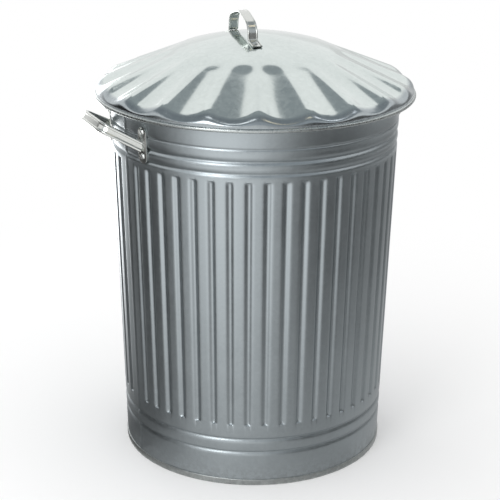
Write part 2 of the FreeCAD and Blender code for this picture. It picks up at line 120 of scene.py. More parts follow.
def start_piece(name: str, primitive: Start, **sizes: Any) -> bpy.types.Object:
    """Add a primitive as the start of a piece, with its place in its mesh.

    Args:
        name: The piece's name.
        primitive: The primitive to start from.
        **sizes: The operator's own settings.

    Returns:
        The new object, at the origin.
    """
    bpy.ops.object.select_all(action="DESELECT")
    getattr(bpy.ops.mesh, primitive.value)(**sizes)
    piece = bpy.context.object
    piece.name = piece.data.name = name
    bpy.ops.object.transform_apply(location=True, rotation=True, scale=True)
    return piece


class Bench:
    """Edit mode on one piece, where vertices are picked by place and moved by operators."""

    def __init__(self, piece: bpy.types.Object) -> None:
        """Keep the piece that is worked on."""
        self.piece = piece

    def pick(self, wanted: Callable[[Vector], bool]) -> None:
        """Select the vertices at wanted places, and nothing else.

        Args:
            wanted: Says of a vertex's place whether it is picked.
        """
        mesh = bmesh.from_edit_mesh(self.piece.data)
        for vertex in mesh.verts:
            vertex.select = False
        mesh.select_flush(False)
        for vertex in mesh.verts:
            if wanted(vertex.co):
                vertex.select = True
        mesh.select_flush_mode()
        bmesh.update_edit_mesh(self.piece.data)

    def pick_all(self) -> None:
        """Select everything."""
        bpy.ops.mesh.select_all(action="SELECT")

    def push(self, x: float, y: float, z: float) -> None:
        """Move what is picked."""
        bpy.ops.transform.translate(value=(x, y, z))

    def scale(self, x: float, y: float, z: float, centre: Sequence[float] = (0.0, 0.0, 0.0)) -> None:
        """Scale what is picked about a centre."""
        bpy.ops.transform.resize(value=(x, y, z), center_override=tuple(centre))

    def raise_edges(self, profile: Profile) -> None:
        """Extrude the picked edges from station to station of an upright profile.

        Args:
            profile: (radius, height) stations; the picked edges lie at the first.
        """
        for (radius, height), (next_radius, next_height) in zip(profile, profile[1:]):
            ratio = next_radius / radius
            bpy.ops.mesh.extrude_region_move(
                TRANSFORM_OT_translate={"value": (0.0, 0.0, next_height - height)})
            self.scale(ratio, ratio, 1.0)

    def spin(self, degrees: float, steps: int, centre: Vector, axis: Vector, copies: bool = False) -> None:
        """Turn what is picked about an axis, drawing faces behind it or leaving copies.

        The operator turns clockwise, seen against the axis, so its angle is the other way round.

        Args:
            degrees: The whole turn.
            steps: How many steps it is made in.
            centre: A point on the axis.
            axis: The axis's direction.
            copies: Whether loose copies are left in place of faces.
        """
        bpy.ops.mesh.spin(steps=steps, dupli=copies, angle=-math.radians(degrees),
                          center=tuple(centre), axis=tuple(axis), use_auto_merge=False)

    def extrude(self, run: Vector) -> None:
        """Extrude what is picked along a run."""
        bpy.ops.mesh.extrude_region_move(TRANSFORM_OT_translate={"value": tuple(run)})

    def close_seams(self, reach: float = 0.01) -> None:
        """Merge doubled vertices and turn all faces outwards.

        Args:
            reach: How far apart merged vertices may lie, in millimetres.
        """
        self.pick_all()
        bpy.ops.mesh.remove_doubles(threshold=reach)
        bpy.ops.mesh.normals_make_consistent(inside=False)


@contextmanager
def bench(piece: bpy.types.Object) -> Iterator[Bench]:
    """Edit mode on one piece, entered with nothing selected."""
    make_active(piece)
    bpy.ops.object.mode_set(mode="EDIT")
    bpy.ops.mesh.select_mode(type="VERT")
    bpy.ops.mesh.select_all(action="DESELECT")
    yield Bench(piece)
    bpy.ops.object.mode_set(mode="OBJECT")


def joined(pieces: Sequence[bpy.types.Object]) -> bpy.types.Object:
    """Join pieces into the first of them."""
    make_active(*pieces)
    bpy.ops.object.join()
    return pieces[0]


def with_modifier(piece: bpy.types.Object, kind: str, **settings: Any) -> None:
    """Add a modifier to a piece and apply it.

    Args:
        piece: The piece.
        kind: The modifier's type.
        **settings: The modifier's own settings.
    """
    modifier = piece.modifiers.new(kind.title(), kind)
    for key, value in settings.items():
        setattr(modifier, key, value)
    make_active(piece)
    bpy.ops.object.modifier_apply(modifier=modifier.name)


def give_thickness(piece: bpy.types.Object) -> None:
    """Give a modelled outside its sheet, inwards."""
    with_modifier(piece, "SOLIDIFY", thickness=SHEET, offset=-1.0, use_even_offset=True)


def waver(piece: bpy.types.Object, size: float, strength: float) -> None:
    """Give a pressed sheet the slight waviness of the real one.

    Args:
        piece: The sheet's outside.
        size: The size of the waves, in millimetres.
        strength: How far they move it, from crest to trough.
    """
    texture = bpy.data.textures.new(piece.name + "_waver", "CLOUDS")
    texture.noise_scale = size
    texture.noise_depth = 1
    with_modifier(piece, "DISPLACE", texture=texture, texture_coords="GLOBAL", direction="NORMAL",
                  mid_level=0.5, strength=strength)


def revolved(name: str, profile: Profile, around: int) -> bpy.types.Object:
    """A closed ring or vessel turned from a profile that ends where it begins or on the axis.

    Args:
        name: The piece's name.
        profile: (radius, height) stations.
        around: How many segments go round.

    Returns:
        The piece, with its seams closed.
    """
    radius, height = profile[0]
    piece = start_piece(name, Start.CIRCLE, vertices=around, radius=radius, location=(0, 0, height))
    with bench(piece) as work:
        work.pick_all()
        work.raise_edges(profile)
        work.close_seams()
    return piece


def smooth(piece: bpy.types.Object, degrees: float) -> None:
    """Shade a piece smooth, with edges kept sharp above an angle."""
    make_active(piece)
    bpy.ops.object.shade_smooth_by_angle(angle=math.radians(degrees))


def finished(piece: bpy.types.Object, body: Body, finish: bpy.types.Material,
             nodes: Sequence[str], sharp: float = 40.0) -> bpy.types.Object:
    """Scale a piece to metres, dress it and hang it on its body.

    Args:
        piece: The piece, drawn in millimetres.
        body: The body that it rides on.
        finish: Its material.
        nodes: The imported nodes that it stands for.
        sharp: The angle in degrees above which its edges stay sharp.

    Returns:
        The finished piece.
    """
    piece.data.transform(Matrix.Scale(MILLIMETRE, 4))
    smooth(piece, sharp)
    piece.data.materials.clear()
    piece.data.materials.append(finish)
    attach(piece, body.value)
    if nodes:
        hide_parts(*nodes)
    LOG.info("%s: %d faces on %s", piece.name, len(piece.data.polygons), body.value)
    return piece


# ---------------------------------------------------------------------------------------------
# Shading: values as Python expressions, finishes as dataclasses
# ---------------------------------------------------------------------------------------------


class Signal:
    """A number that varies over a surface; Python's operators add Math nodes to it."""

    def __init__(self, graph: "Graph", socket: bpy.types.NodeSocket) -> None:
        """Wrap a socket of a graph."""
        self.graph = graph
        self.socket = socket

    def joined(self, operation: str, first: Any, second: Any, clamp: bool = False) -> "Signal":
        """A Math node on two values."""
        node = self.graph.add("ShaderNodeMath", {"operation": operation, "use_clamp": clamp},
                              {0: first, 1: second})
        return Signal(self.graph, node.outputs[0])

    def __add__(self, other: Any) -> "Signal":
        """Sum."""
        return self.joined("ADD", self, other)

    __radd__ = __add__

    def __sub__(self, other: Any) -> "Signal":
        """Difference."""
        return self.joined("SUBTRACT", self, other)

    def __rsub__(self, other: Any) -> "Signal":
        """Difference, with the signal taken away."""
        return self.joined("SUBTRACT", other, self)

    def __mul__(self, other: Any) -> "Signal":
        """Product."""
        return self.joined("MULTIPLY", self, other)

    __rmul__ = __mul__

    def clamped(self) -> "Signal":
        """The signal kept between 0 and 1."""
        return self.joined("ADD", self, 0.0, clamp=True)

    def ramp(self, low: float, high: float) -> "Signal":
        """Rise smoothly from 0 at low to 1 at high."""
        node = self.graph.add("ShaderNodeMapRange", {"interpolation_type": "SMOOTHSTEP"},
                              {"Value": self, "From Min": low, "From Max": high})
        return Signal(self.graph, node.outputs["Result"])


class Graph:
    """A material's node tree, filled through one method."""

    def __init__(self, name: str) -> None:
        """Make a material with an empty tree."""
        self.material = bpy.data.materials.new(name)
        self.material.use_nodes = True
        self.tree = self.material.node_tree
        self.tree.nodes.clear()

    def add(self, kind: str, settings: dict[str, Any] | None = None,
            inputs: dict[Any, Any] | None = None) -> bpy.types.Node:
        """Create a node.

        Args:
            kind: The node's type.
            settings: Its own settings, set first.
            inputs: Values or links for its sockets.

        Returns:
            The node.
        """
        node = self.tree.nodes.new(kind)
        for key, value in (settings or {}).items():
            setattr(node, key, value)
        for key, value in (inputs or {}).items():
            if isinstance(value, Signal):
                self.tree.links.new(value.socket, node.inputs[key])
            elif isinstance(value, bpy.types.NodeSocket):
                self.tree.links.new(value, node.inputs[key])
            else:
                node.inputs[key].default_value = value
        return node

    def place(self) -> bpy.types.NodeSocket:
        """Where a point lies, in the object's own metres."""
        return self.add("ShaderNodeTexCoord").outputs["Object"]

    def stretched(self, place: bpy.types.NodeSocket, scale: Sequence[float]) -> bpy.types.NodeSocket:
        """A place scaled along each axis."""
        node = self.add("ShaderNodeMapping", {}, {"Vector": place, "Scale": tuple(scale)})
        return node.outputs["Vector"]

    def noise(self, place: bpy.types.NodeSocket, size: float, detail: float = 2.0,
              roughness: float = 0.5) -> Signal:
        """Soft noise from about 0 to 1, with blotches of a size in metres."""
        node = self.add("ShaderNodeTexNoise", {}, {
            "Vector": place, "Scale": 1.0 / size, "Detail": detail, "Roughness": roughness})
        return Signal(self, node.outputs["Fac"])

    def cells(self, place: bpy.types.NodeSocket, size: float) -> Signal:
        """One random number for each crystal of the zinc, of a size in metres."""
        bend = self.add("ShaderNodeTexNoise", {}, {"Vector": place, "Scale": 0.7 / size, "Detail": 1.0})
        bent = self.add("ShaderNodeVectorMath", {"operation": "MULTIPLY_ADD"}, {
            0: bend.outputs["Color"], 1: (size, size, size), 2: place})
        node = self.add("ShaderNodeTexVoronoi", {}, {"Vector": bent.outputs[0], "Scale": 1.0 / size})
        parts = self.add("ShaderNodeSeparateColor", {}, {"Color": node.outputs["Color"]})
        return Signal(self, parts.outputs[0])

    def height(self, place: bpy.types.NodeSocket) -> Signal:
        """Height above the ground in metres."""
        parts = self.add("ShaderNodeSeparateXYZ", {}, {"Vector": place})
        return Signal(self, parts.outputs["Z"])

    def length(self, vector: bpy.types.NodeSocket) -> Signal:
        """How long a vector is."""
        node = self.add("ShaderNodeVectorMath", {"operation": "LENGTH"}, {0: vector})
        return Signal(self, node.outputs["Value"])

    def surfaced(self, shader: bpy.types.NodeSocket) -> bpy.types.Material:
        """End the tree in a surface and give the material back."""
        self.add("ShaderNodeOutputMaterial", {}, {"Surface": shader})
        return self.material

    def blend(self, share: Signal, first: Any, second: Any) -> bpy.types.NodeSocket:
        """A colour between two."""
        colours = [value if isinstance(value, bpy.types.NodeSocket) else (*value, 1.0)
                   for value in (first, second)]
        node = self.add("ShaderNodeMix", {"data_type": "RGBA"}, {0: share, 6: colours[0], 7: colours[1]})
        return node.outputs[2]


@dataclass(frozen=True)
class ZincFinish:
    """Hot-dip zinc on sheet or wire."""

    name: str
    dark: Colour
    light: Colour
    spangle: float = 0.009
    spangle_share: float = 0.35
    roughness: float = 0.34
    roughness_swing: float = 0.12
    roughness_drift: float = 0.10
    relief: float = 0.10
    streaks: float = 0.0
    soil: float = 0.0
    soil_top: float = 0.05
    soil_colour: Colour = (0.10, 0.10, 0.10)
    # Beyond this radius the colour is painted darker and bluer: painted shade and reflection of the
    # shoulder and skirt, which also get a rougher finish.
    shade_band_from: float = 0.0
    painted_shade_colour: Colour = (0.40, 0.44, 0.46)
    mottle_size: float = 0.06
    mottle_share: float = 0.55
    grain_size: float = 0.0022
    grain_share: float = 0.35
    tone_floor: float = 0.18

    def dirt(self, graph: Graph, place: bpy.types.NodeSocket) -> Signal:
        """Blotches of soil that thin out upwards from the ground.

        Args:
            graph: The material's graph.
            place: Where a point lies.

        Returns:
            How much soil covers it.
        """
        blotch = graph.noise(place, 0.010, 4.0, 0.65)
        low = 1.0 - graph.height(place).ramp(0.0, self.soil_top)
        return ((blotch - 0.42).ramp(0.0, 0.16) * low * self.soil).clamped()

    def shade_and_matt_band(self, graph: Graph, place: bpy.types.NodeSocket, mottle: Signal) -> Signal:
        """The band beyond a radius whose colour is painted darker and bluer, painted shade and reflection
        of the lid's shoulder and skirt, and whose finish is rougher.

        Args:
            graph: The material's graph.
            place: Where a point lies.
            mottle: The noise that moves the band's edge.

        Returns:
            How much painted shade and roughness it gets.
        """
        # Vertical streaks in the painted shade and the roughness of the band.
        band_streaks = graph.noise(graph.stretched(place, (1.0, 1.0, 0.10)), 0.006, 3.0)
        radius = graph.length(graph.stretched(place, (1.0, 1.0, 0.0)))
        beyond = radius + (mottle - 0.5) * 0.004 - self.shade_band_from
        return beyond.ramp(-0.004, 0.004) * (0.70 + band_streaks * 0.5)

    def material(self) -> bpy.types.Material:
        """Build the finish.

        Returns:
            The material.
        """
        graph = Graph(self.name)
        place = graph.place()
        crystal = graph.cells(place, self.spangle)
        mottle = graph.noise(place, self.mottle_size, 3.0)
        grain = graph.noise(place, self.grain_size, 2.0, 0.7)
        tone = crystal * self.spangle_share + mottle * self.mottle_share + grain * self.grain_share
        if self.streaks:
            runs = graph.noise(graph.stretched(place, (1.0, 1.0, 0.06)), 0.012, 3.0)
            tone = tone + (runs - 0.5) * self.streaks
        colour = graph.blend((tone - self.tone_floor).clamped(), self.dark, self.light)
        rough = (self.roughness + (crystal - 0.5) * self.roughness_swing +
                 (mottle - 0.5) * self.roughness_drift)
        metallic: Any = 1.0
        if self.soil:
            dirt = self.dirt(graph, place)
            colour = graph.blend(dirt, colour, self.soil_colour)
            rough = rough + dirt * 0.3
            metallic = 1.0 - dirt * 0.6
        # Painted shade and reflection: the band beyond a radius is blended to a darker, bluer colour and
        # made rougher.
        if self.shade_band_from:
            shade_and_matt = self.shade_and_matt_band(graph, place, mottle)
            colour = graph.blend(shade_and_matt.clamped(), colour, self.painted_shade_colour)
            rough = rough + shade_and_matt * 0.10
        ripple = graph.noise(place, 0.004, 2.0)
        relief = ripple * 0.6 + crystal * 0.15 + grain * 0.25
        bump = graph.add("ShaderNodeBump", {}, {"Strength": self.relief, "Distance": 0.001,
                                               "Height": relief})
        shader = graph.add("ShaderNodeBsdfPrincipled", {}, {
            "Base Color": colour, "Roughness": rough, "Metallic": metallic,
            "Normal": bump.outputs["Normal"]})
        return graph.surfaced(shader.outputs["BSDF"])


BODY_ZINC = ZincFinish("body_zinc", (0.37, 0.41, 0.43), (0.49, 0.54, 0.56), spangle=0.005, relief=0.06,
                       spangle_share=0.22, roughness_swing=0.06, streaks=0.25, soil=0.30, roughness=0.34)
BASE_ZINC = ZincFinish("base_zinc", (0.28, 0.30, 0.30), (0.52, 0.55, 0.54))
# Beyond 239 mm the lid's shoulder and skirt get painted shade and reflection in their colour.
LID_ZINC = ZincFinish("lid_zinc", (0.60, 0.655, 0.64), (0.80, 0.86, 0.84), roughness=0.12, relief=0.025,
                      spangle=0.006, spangle_share=0.20, roughness_swing=0.04, roughness_drift=0.04,
                      shade_band_from=0.239)
BEAD_ZINC = ZincFinish("bead_zinc", (0.40, 0.43, 0.43), (0.66, 0.70, 0.69), spangle=0.004, roughness=0.28)
HOOP_ZINC = ZincFinish("hoop_zinc", (0.30, 0.32, 0.32), (0.56, 0.59, 0.58), spangle=0.004, soil=0.3,
                       soil_top=0.012, roughness=0.34)
# The strap's colour is partly its zinc and partly painted reflection: its light end is lightened and tinted
# warm to stand in for warm highlights on the handles.
STRAP_ZINC_WARM_SHEEN = ZincFinish("strap_zinc_warm_sheen", (0.60, 0.62, 0.60), (0.86, 0.87, 0.83), spangle=0.003,
                        spangle_share=0.15, roughness=0.20, roughness_swing=0.05, relief=0.03)
RIVET_ZINC = ZincFinish("rivet_zinc", (0.58, 0.60, 0.59), (0.82, 0.84, 0.82), spangle=0.002,
                        roughness=0.22, relief=0.05)


# ---------------------------------------------------------------------------------------------
# The bin
# ---------------------------------------------------------------------------------------------


@dataclass
class BinWall:
    """The tapered wall, with its ring grooves, pressed flutes and folded seam."""

    floor_radius: float = 210.0
    taper: float = 0.031
    bottom: float = 1.2
    top: float = 598.8
    flutes: int = 50
    flute_depth: float = 3.3
    flute_bottom: float = 103.0
    flute_top: float = 499.5
    flute_fade: float = 7.0
    flute_flat: float = 0.4
    flute_flank: float = 6.4
    groove_round: float = 1.8
    # Each ring groove's height, its depth and the radius of its lips.
    ring_grooves: tuple[tuple[float, float, float], ...] = (
        (57.0, 2.6, 10.0), (79.0, 2.6, 10.0), (511.0, 2.7, 10.0), (529.5, 3.2, 10.0), (549.0, 1.1, 5.0))
    # Places across one flute, in millimetres at the foot, from its middle to the middle of the panel.
    columns: tuple[float, ...] = (0.0, 1.3, 2.6, 3.9, 5.3, 7.2, 9.8)
    seam_azimuth: float = 185.8
    seam_half: float = 3.4
    seam_height: float = 0.9
    seam_bottom: float = 10.5
    seam_top: float = 588.0
    rim_wire: float = 3.2
    # Where the mesh has rows: on plain wall, across a groove, over a flute's end and along a flute.
    plain_rows: tuple[float, ...] = (30.0, 570.0)
    groove_rows: tuple[float, ...] = (0.0, 0.14, 0.34, 0.6, 1.0)
    end_rows: tuple[float, ...] = (0.0, 1.2, 2.6, 4.4, 7.0)
    flute_rows: tuple[float, ...] = (60.0, 120.0, 180.0, 240.0, 300.0, 360.0)

    def cone_radius(self, height: float) -> float:
        """Radius of the outer line that every crown touches."""
        return self.floor_radius + self.taper * height

    def groove_half(self, depth: float, lip: float) -> float:
        """Half the height of a ring groove, from its middle to where its lip ends."""
        return math.sqrt(2.0 * depth * (lip + self.groove_round) - depth * depth)

    def ring_inset(self, height: float) -> float:
        """How far the ring grooves press the wall in at a height."""
        for middle, depth, lip in self.ring_grooves:
            apart = self.groove_half(depth, lip)
            off = abs(height - middle)
            if off >= apart:
                continue
            if off <= apart * self.groove_round / (lip + self.groove_round):
                return depth - self.groove_round + math.sqrt(self.groove_round ** 2 - off * off)
            return lip - math.sqrt(lip * lip - (apart - off) ** 2)
        return 0.0

    def rows(self) -> list[float]:
        """Heights of the mesh's rows, closest where the wall bends."""
        heights = {self.bottom, self.top, *self.plain_rows}
        for seam_end in (self.seam_bottom, self.seam_top):
            heights |= {seam_end - 1.0, seam_end + 1.0}
        for middle, depth, lip in self.ring_grooves:
            apart = self.groove_half(depth, lip)
            for share in self.groove_rows:
                heights |= {middle - share * apart, middle + share * apart}
        heights.add((self.ring_grooves[0][0] + self.ring_grooves[1][0]) / 2.0)
        for step in self.end_rows:
            heights |= {self.flute_bottom + step, self.flute_top - step}
        heights |= {self.flute_bottom + step for step in self.flute_rows}
        return sorted(heights)

    def flute_end(self, height: float) -> float:
        """Share of a flute's depth at a height, which fades over its rounded ends."""
        from_end = min(height - self.flute_bottom, self.flute_top - height)
        return math.sqrt(max(0.0, 1.0 - (1.0 - min(1.0, max(0.0, from_end / self.flute_fade))) ** 2))

    def flute_share(self, across: float) -> float:
        """Share of a flute's depth across it, in millimetres from its middle."""
        return 1.0 - smooth_step((abs(across) - self.flute_flat) / self.flute_flank)

    def strip(self, name: str) -> bpy.types.Object:
        """One plain pitch of the wall, centred on +X."""
        around = self.flutes * 2 * len(self.columns)
        heights = self.rows()
        piece = start_piece(name, Start.CIRCLE, vertices=around, radius=self.floor_radius,
                            location=(0, 0, 0))
        half = 360.0 / self.flutes / 2.0
        step = 360.0 / around
        profile = [(self.cone_radius(height) - self.ring_inset(height), height) for height in heights]
        with bench(piece) as work:
            work.pick(lambda co: abs(azimuth(co)) > half + step / 2.0)
            bpy.ops.mesh.delete(type="VERT")
            for index, across in list(enumerate(self.columns))[1:]:
                for side in (-1, 1):
                    work.pick(lambda co: abs(azimuth(co) - side * index * step) < step / 50.0)
                    before = polar(self.floor_radius, side * index * step)
                    after = polar(self.floor_radius, side * math.degrees(across / self.floor_radius))
                    work.push(*(after - before))
            work.pick_all()
            work.push(0.0, 0.0, heights[0])
            ratio = profile[0][0] / self.floor_radius
            work.scale(ratio, ratio, 1.0)
            work.raise_edges(profile)
        return piece

    def press_flute(self, strip: bpy.types.Object) -> None:
        """Press a round-ended flute into a strip, column by column."""
        heights = [height for height in self.rows() if self.flute_bottom < height < self.flute_top]
        bands: list[tuple[float, float, float]] = []
        for height in heights:
            share = self.flute_end(height)
            if bands and share == 1.0 and bands[-1][2] == 1.0:
                bands[-1] = (bands[-1][0], height, 1.0)
            else:
                bands.append((height, height, share))
        with bench(strip) as work:
            for low, high, end in bands:
                for across in self.columns:
                    depth = self.flute_depth * end * self.flute_share(across)
                    if depth < TINY:
                        continue
                    angle = math.degrees(across / self.floor_radius)
                    work.pick(lambda co: low - 0.01 < co.z < high + 0.01 and
                              abs(abs(azimuth(co)) - angle) < 0.02)
                    work.push(-depth, 0.0, 0.0)

    def raise_seam(self, strip: bpy.types.Object) -> None:
        """Raise the folded seam along the middle of a strip."""
        with bench(strip) as work:
            for across in self.columns:
                if across > self.seam_half:
                    continue
                angle = math.degrees(across / self.floor_radius)
                work.pick(lambda co: self.seam_bottom < co.z < self.seam_top and
                          abs(abs(azimuth(co)) - angle) < 0.02)
                work.push(self.seam_height, 0.0, 0.0)

    def build(self) -> bpy.types.Object:
        """Model one flute, copy it round, close the ring with the seam's strip and give it its sheet."""
        pitch = 360.0 / self.flutes
        fluted = self.strip("bin_wall")
        seamed = self.strip("seam_strip")
        self.press_flute(fluted)
        self.raise_seam(seamed)
        with bench(fluted) as work:
            work.pick_all()
            work.spin(pitch * (self.flutes - 2), self.flutes - 2, Vector(), UP, copies=True)
        seamed.data.transform(turn_about_up(-pitch))
        wall = joined([fluted, seamed])
        with bench(wall) as work:
            work.close_seams()
        wall.data.transform(turn_about_up(self.seam_azimuth + pitch))
        waver(wall, size=90.0, strength=0.5)
        give_thickness(wall)
        return wall


@dataclass
class WiredEdge:
    """A sheet's edge rolled over a wire."""

    name: str
    middle: float
    height: float
    radius: float
    lap_azimuth: float
    sides: int = 18
    around: int = 300
    # How far from the lap the roll thins, and to what share.
    lap_shares: tuple[tuple[float, float], ...] = ((3.0, 0.97), (1.8, 0.93), (0.6, 0.90))

    def build(self) -> bpy.types.Object:
        """Spin the roll's section round, with the lap where its two ends meet."""
        piece = start_piece(self.name, Start.CIRCLE, vertices=self.sides, radius=self.radius,
                            location=(self.middle, 0, self.height), rotation=(math.pi / 2.0, 0, 0))
        with bench(piece) as work:
            work.pick_all()
            work.spin(360.0, self.around, Vector((0, 0, self.height)), UP)
            work.close_seams()
            for away, share in self.lap_shares:
                work.pick(lambda co: abs(azimuth(co)) < math.degrees(away / self.middle))
                work.scale(share, share, share, (self.middle, 0.0, self.height))
        piece.data.transform(turn_about_up(self.lap_azimuth))
        return piece


@dataclass
class BinBase:
    """The dished base and the hoop that it stands on."""

    wall: BinWall
    pan_height: float = 17.0
    pan_corner: float = 4.0
    pan_gap: float = 0.25
    hoop_height: float = 10.0
    hoop_proud: float = 1.5
    hoop_web: float = 7.0
    around: int = 300
    corner_turns: tuple[float, ...] = (0.0, 18.0, 36.0, 54.0, 72.0, 90.0)
    pan_rings: tuple[float, float] = (170.0, 92.0)
    # A stiffening ring's section: distance out from its middle, and drop.
    ring_section: Profile = ((7.0, 0.0), (4.5, 0.5), (2.0, 1.5), (0.0, 1.9), (-2.0, 1.5), (-4.5, 0.5),
                             (-7.0, 0.0))
    pan_centre: tuple[float, float] = (30.0, 4.0)
    # The hoop's rounded edges: distance out from its face, with the height or the depth below its top.
    hoop_foot: Profile = ((-0.8, 0.0), (-0.25, 0.22), (0.0, 0.8), (0.12, 4.0))
    hoop_brow: Profile = ((0.0, 2.0), (-0.15, 0.9), (-0.6, 0.2), (-1.0, 0.0))

    def build_pan(self) -> bpy.types.Object:
        """Turn the base, its flange and two stiffening rings."""
        low = self.wall.cone_radius(self.wall.bottom) - SHEET - self.pan_gap
        high = self.wall.cone_radius(self.pan_height) - SHEET - self.pan_gap
        corner = [(high - self.pan_corner * (1.0 - math.cos(turn)),
                   self.pan_height - self.pan_corner * (1.0 - math.sin(turn)))
                  for turn in map(math.radians, self.corner_turns)]
        profile = [(low, self.wall.bottom)] + corner
        for ring in self.pan_rings:
            profile += [(ring + off, self.pan_height - drop) for off, drop in self.ring_section]
        profile += [(radius, self.pan_height) for radius in self.pan_centre]
        piece = start_piece("base_pan_pressed", Start.CIRCLE, vertices=self.around, radius=profile[0][0],
                            location=(0, 0, profile[0][1]))
        with bench(piece) as work:
            work.pick_all()
            work.raise_edges(profile)
            bpy.ops.mesh.edge_face_add()
            work.close_seams()
        give_thickness(piece)
        return piece

    def build_hoop(self) -> bpy.types.Object:
        """Turn the L-section hoop whose leg shows as the foot band."""
        outside = self.wall.cone_radius(0.0) + self.hoop_proud
        top_outside = self.wall.cone_radius(self.hoop_height) + self.hoop_proud
        wall_low = self.wall.cone_radius(self.wall.bottom) + FIT
        wall_high = self.wall.cone_radius(self.hoop_height) + FIT
        web_top = self.wall.bottom - FIT
        web_inside = outside - self.hoop_web
        foot = [(outside + off, height) for off, height in self.hoop_foot]
        brow = [(top_outside + off, self.hoop_height - drop) for off, drop in self.hoop_brow]
        profile = [(web_inside, 0.0), *foot, *brow, (wall_high, self.hoop_height), (wall_low, web_top),
                   (web_inside, web_top), (web_inside, 0.0)]
        return revolved("foot_band", profile, self.around)


# ---------------------------------------------------------------------------------------------
# Straps and rivets
# ---------------------------------------------------------------------------------------------


@dataclass
class RolledStrap:
    """A strip of sheet with a rolled bead along each edge, bent along a route."""

    width: float
    bead: float
    web: float
    bead_sides: int = 13

    def section(self, name: str, origin: Vector, across: Vector, through: Vector) -> bpy.types.Object:
        """Draw the strap's cross-section as one face.

        Args:
            name: The piece's name.
            origin: The middle of the section.
            across: Unit direction across the strap.
            through: Unit direction through it.

        Returns:
            The piece, one many-sided face.
        """
        count = 2 * self.bead_sides
        step = 360.0 / count
        arm = self.width / 2.0 - self.bead
        meet = 180.0 - math.degrees(math.asin(self.web / self.bead))
        piece = start_piece(name, Start.CIRCLE, vertices=count, radius=self.bead, fill_type="NGON",
                            rotation=(0.0, 0.0, math.radians(step / 2.0)))
        with bench(piece) as work:
            for index in range(count):
                before = -90.0 + step * (index + 0.5)
                share = 2.0 * (index % self.bead_sides) / (self.bead_sides - 1.0) - 1.0
                side = 1.0 if index < self.bead_sides else -1.0
                after = side * (Vector((arm, 0.0, 0.0)) + polar(self.bead, meet * share))
                work.pick(lambda co: (co - polar(self.bead, before)).length < TINY)
                work.push(*(after - polar(self.bead, before)))
        basis = Matrix((across, through, across.cross(through))).transposed().to_4x4()
        piece.data.transform(Matrix.Translation(origin) @ basis)
        return piece

    def bend(self, name: str, points: Sequence[Vector], radii: Sequence[float],
             across: Vector, steps: int = 8) -> bpy.types.Object:
        """Run the section along a route of straight runs and round bends.

        Args:
            name: The piece's name.
            points: The route's corners and ends.
            radii: The bend's radius at each corner.
            across: Unit direction across the strap at the start.
            steps: Segments in each bend.

        Returns:
            The bent strap.
        """
        run = (points[1] - points[0]).normalized()
        piece = self.section(name, points[0], across, run.cross(across))
        start = points[0]
        with bench(piece) as work:
            work.pick_all()
            for before, corner, after, radius in zip(points, points[1:], points[2:], radii):
                back = (before - corner).normalized()
                ahead = (after - corner).normalized()
                half = back.angle(ahead) / 2.0
                reach = radius / math.tan(half)
                hub = corner + (back + ahead).normalized() * (radius / math.sin(half))
                work.extrude(corner + back * reach - start)
                work.spin(180.0 - math.degrees(2.0 * half), steps, hub, ahead.cross(back).normalized())
                start = corner + ahead * reach
            work.extrude(points[-1] - start)
            work.close_seams()
        return piece


@dataclass
class Rivet:
    """A domed rivet with a flat tail."""

    shank: float = 2.2
    head: float = 4.6
    rise: float = 2.4
    tail: float = 4.0
    tail_rise: float = 1.3
    tail_round: float = 0.4
    tail_middle: float = 0.3
    head_round: float = 0.15
    sides: int = 20
    dome_shares: tuple[float, ...] = (1.0, 0.8, 0.6, 0.4, 0.2, 0.06)

    def build(self, name: str, seat: Vector, outward: Vector, grip: float) -> bpy.types.Object:
        """Turn a rivet and set it, its head on the seat.

        Args:
            name: The piece's name.
            seat: Where the underside of its head lies.
            outward: The direction that its head faces.
            grip: The thickness that it holds together.

        Returns:
            The rivet.
        """
        crown = (self.head ** 2 + self.rise ** 2) / (2.0 * self.rise)
        turns = [math.asin(self.head / crown) * share for share in self.dome_shares]
        dome = [(crown * math.sin(turn), self.rise - crown + crown * math.cos(turn)) for turn in turns]
        end = -grip - self.tail_rise
        profile = [(self.tail_middle, end), (self.tail - self.tail_round, end),
                   (self.tail, end + self.tail_round), (self.tail, -grip), (self.shank, -grip),
                   (self.shank, 0.0), (self.head - self.head_round, 0.0)] + dome
        piece = start_piece(name, Start.CIRCLE, vertices=self.sides, radius=profile[0][0],
                            location=(0, 0, profile[0][1]))
        with bench(piece) as work:
            work.pick_all()
            bpy.ops.mesh.edge_face_add()
            work.raise_edges(profile)
            work.close_seams()
        facing = outward.to_track_quat("Z", "Y").to_matrix().to_4x4()
        piece.data.transform(Matrix.Translation(seat) @ facing)
        return piece


